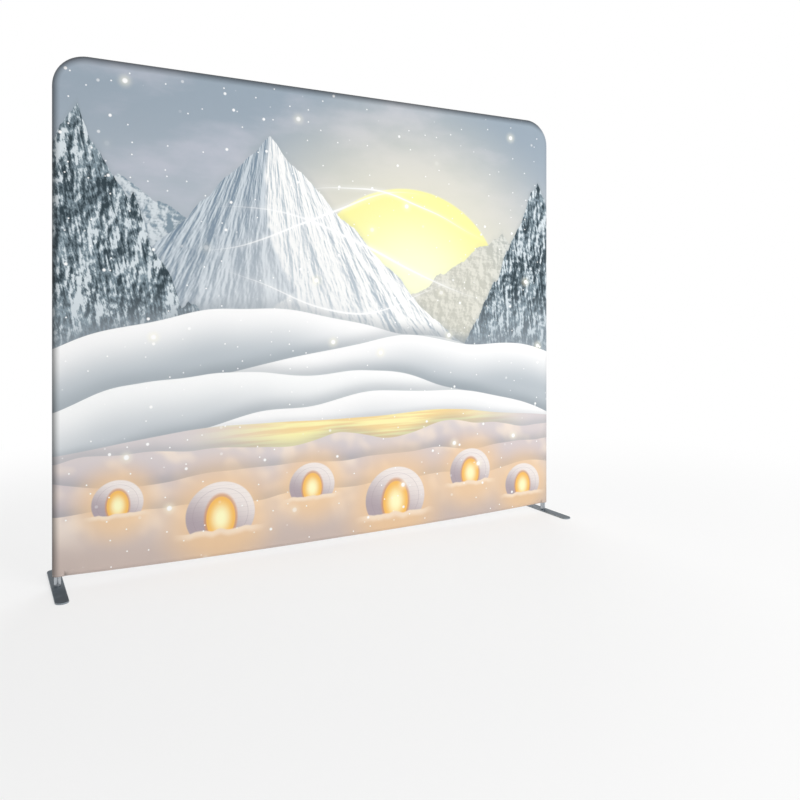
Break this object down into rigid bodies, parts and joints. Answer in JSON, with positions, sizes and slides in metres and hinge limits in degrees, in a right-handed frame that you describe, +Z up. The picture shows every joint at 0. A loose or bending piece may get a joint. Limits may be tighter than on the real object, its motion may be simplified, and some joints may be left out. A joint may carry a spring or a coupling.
{
  "type": "tension fabric backdrop stand",
  "caption": "Printed stretch-fabric pillowcase zipped over a snap-together round tube frame with rounded top corners, standing on flat round-ended foot plates.",
  "frame": {"origin": "on the floor midway between the two feet, under the middle of the bottom rail", "axes": "+X along the width to the viewer's right, +Y to the back where the zip is (the print faces -Y), +Z up"},
  "size_m": [2.452, 0.45, 2.1311],
  "materials": {
    "aluminium_tube": "satin anodised",
    "grey_plastic": "moulded",
    "button_steel": "bright",
    "spring_steel": "plain",
    "foot_steel": "dark grey powder coat",
    "post_steel": "zinc plated",
    "printed_cloth": "printed stretch knit, matt",
    "plain_cloth": "unprinted stretch knit, matt",
    "zip_tape": "woven tape",
    "zip_nylon": "coil teeth",
    "zip_metal": "nickel plated"
  },
  "bodies": {
    "frame": {"top_corner_left": "aluminium_tube", "bottom_corner_left": "aluminium_tube", "upright_lower_left": "aluminium_tube", "upright_upper_left": "aluminium_tube", "top_rail_left": "aluminium_tube", "bottom_rail_left": "aluminium_tube", "top_corner_right": "aluminium_tube", "bottom_corner_right": "aluminium_tube", "upright_lower_right": "aluminium_tube", "upright_upper_right": "aluminium_tube", "top_rail_right": "aluminium_tube", "bottom_rail_right": "aluminium_tube", "centre_pole_lower": "aluminium_tube", "centre_pole_upper": "aluminium_tube", "pole_saddle_bottom": "grey_plastic", "pole_saddle_top": "grey_plastic", "foot_bush_left": "grey_plastic", "foot_bush_right": "grey_plastic", "button_spring_lower_left": "spring_steel", "button_spring_middle_left": "spring_steel", "button_spring_upper_left": "spring_steel", "button_spring_top_left": "spring_steel", "button_spring_bottom_left": "spring_steel", "button_spring_lower_right": "spring_steel", "button_spring_middle_right": "spring_steel", "button_spring_upper_right": "spring_steel", "button_spring_top_right": "spring_steel", "button_spring_bottom_right": "spring_steel", "button_spring_top_middle": "spring_steel", "button_spring_bottom_middle": "spring_steel", "button_spring_pole": "spring_steel"},
    "cover": {"cover_front": "printed_cloth", "cover_back": "plain_cloth", "cover_flap": "printed_cloth", "zip_tape_upper": "zip_tape", "zip_tape_lower": "zip_tape", "zip_teeth": "zip_nylon", "zip_stop_left": "zip_metal", "zip_stop_right": "zip_metal"},
    "foot_left": {"foot_plate_left": "foot_steel", "foot_post_left": "post_steel", "foot_bolt_left": "button_steel"},
    "foot_right": {"foot_plate_right": "foot_steel", "foot_post_right": "post_steel", "foot_bolt_right": "button_steel"},
    "button_lower_left": {"snap_button_lower_left": "button_steel"},
    "button_middle_left": {"snap_button_middle_left": "button_steel"},
    "button_upper_left": {"snap_button_upper_left": "button_steel"},
    "button_top_left": {"snap_button_top_left": "button_steel"},
    "button_bottom_left": {"snap_button_bottom_left": "button_steel"},
    "button_lower_right": {"snap_button_lower_right": "button_steel"},
    "button_middle_right": {"snap_button_middle_right": "button_steel"},
    "button_upper_right": {"snap_button_upper_right": "button_steel"},
    "button_top_right": {"snap_button_top_right": "button_steel"},
    "button_bottom_right": {"snap_button_bottom_right": "button_steel"},
    "button_top_middle": {"snap_button_top_middle": "button_steel"},
    "button_bottom_middle": {"snap_button_bottom_middle": "button_steel"},
    "button_pole": {"snap_button_pole": "button_steel"},
    "zip_slider": {"zip_slider": "zip_metal"},
    "zip_pull": {"zip_pull": "zip_metal"}
  },
  "joints": [
    {"name": "foot_turn_left", "type": "hinge", "parent": "frame", "child": "foot_left", "pos_m": [-1.201, 0, 0], "axis": [0, 0, 1], "range_deg": [-90, 90]},
    {"name": "foot_turn_right", "type": "hinge", "parent": "frame", "child": "foot_right", "pos_m": [1.201, 0, 0], "axis": [0, 0, 1], "range_deg": [-90, 90]},
    {"name": "button_press_lower_left", "type": "slide", "parent": "frame", "child": "button_lower_left", "axis": [-1, 0, 0], "range_m": [0, 0.0043], "stiffness_N_per_m": 300, "deforming": ["button_spring_lower_left"]},
    {"name": "button_press_middle_left", "type": "slide", "parent": "frame", "child": "button_middle_left", "axis": [-1, 0, 0], "range_m": [0, 0.0043], "stiffness_N_per_m": 300, "deforming": ["button_spring_middle_left"]},
    {"name": "button_press_upper_left", "type": "slide", "parent": "frame", "child": "button_upper_left", "axis": [-1, 0, 0], "range_m": [0, 0.0043], "stiffness_N_per_m": 300, "deforming": ["button_spring_upper_left"]},
    {"name": "button_press_top_left", "type": "slide", "parent": "frame", "child": "button_top_left", "axis": [0, 0, 1], "range_m": [0, 0.0043], "stiffness_N_per_m": 300, "deforming": ["button_spring_top_left"]},
    {"name": "button_press_bottom_left", "type": "slide", "parent": "frame", "child": "button_bottom_left", "axis": [0, 0, -1], "range_m": [0, 0.0043], "stiffness_N_per_m": 300, "deforming": ["button_spring_bottom_left"]},
    {"name": "button_press_lower_right", "type": "slide", "parent": "frame", "child": "button_lower_right", "axis": [1, 0, 0], "range_m": [0, 0.0043], "stiffness_N_per_m": 300, "deforming": ["button_spring_lower_right"]},
    {"name": "button_press_middle_right", "type": "slide", "parent": "frame", "child": "button_middle_right", "axis": [1, 0, 0], "range_m": [0, 0.0043], "stiffness_N_per_m": 300, "deforming": ["button_spring_middle_right"]},
    {"name": "button_press_upper_right", "type": "slide", "parent": "frame", "child": "button_upper_right", "axis": [1, 0, 0], "range_m": [0, 0.0043], "stiffness_N_per_m": 300, "deforming": ["button_spring_upper_right"]},
    {"name": "button_press_top_right", "type": "slide", "parent": "frame", "child": "button_top_right", "axis": [0, 0, 1], "range_m": [0, 0.0043], "stiffness_N_per_m": 300, "deforming": ["button_spring_top_right"]},
    {"name": "button_press_bottom_right", "type": "slide", "parent": "frame", "child": "button_bottom_right", "axis": [0, 0, -1], "range_m": [0, 0.0043], "stiffness_N_per_m": 300, "deforming": ["button_spring_bottom_right"]},
    {"name": "button_press_top_middle", "type": "slide", "parent": "frame", "child": "button_top_middle", "axis": [0, 0, 1], "range_m": [0, 0.0043], "stiffness_N_per_m": 300, "deforming": ["button_spring_top_middle"]},
    {"name": "button_press_bottom_middle", "type": "slide", "parent": "frame", "child": "button_bottom_middle", "axis": [0, 0, -1], "range_m": [0, 0.0043], "stiffness_N_per_m": 300, "deforming": ["button_spring_bottom_middle"]},
    {"name": "button_press_pole", "type": "slide", "parent": "frame", "child": "button_pole", "axis": [-1, 0, 0], "range_m": [0, 0.004], "stiffness_N_per_m": 300, "deforming": ["button_spring_pole"]},
    {"name": "cover_lift", "type": "slide", "parent": "frame", "child": "cover", "axis": [0, 0, 1], "range_m": [0, 2.12], "deforming": ["cover_flap"]},
    {"name": "zip_slide", "type": "slide", "parent": "cover", "child": "zip_slider", "axis": [1, 0, 0], "range_m": [0, 2.283]},
    {"name": "zip_pull_turn", "type": "hinge", "parent": "zip_slider", "child": "zip_pull", "pos_m": [-1.1417, 0.02585, 0.113], "axis": [0, 0, 1], "range_deg": [0, 175]}
  ]
}
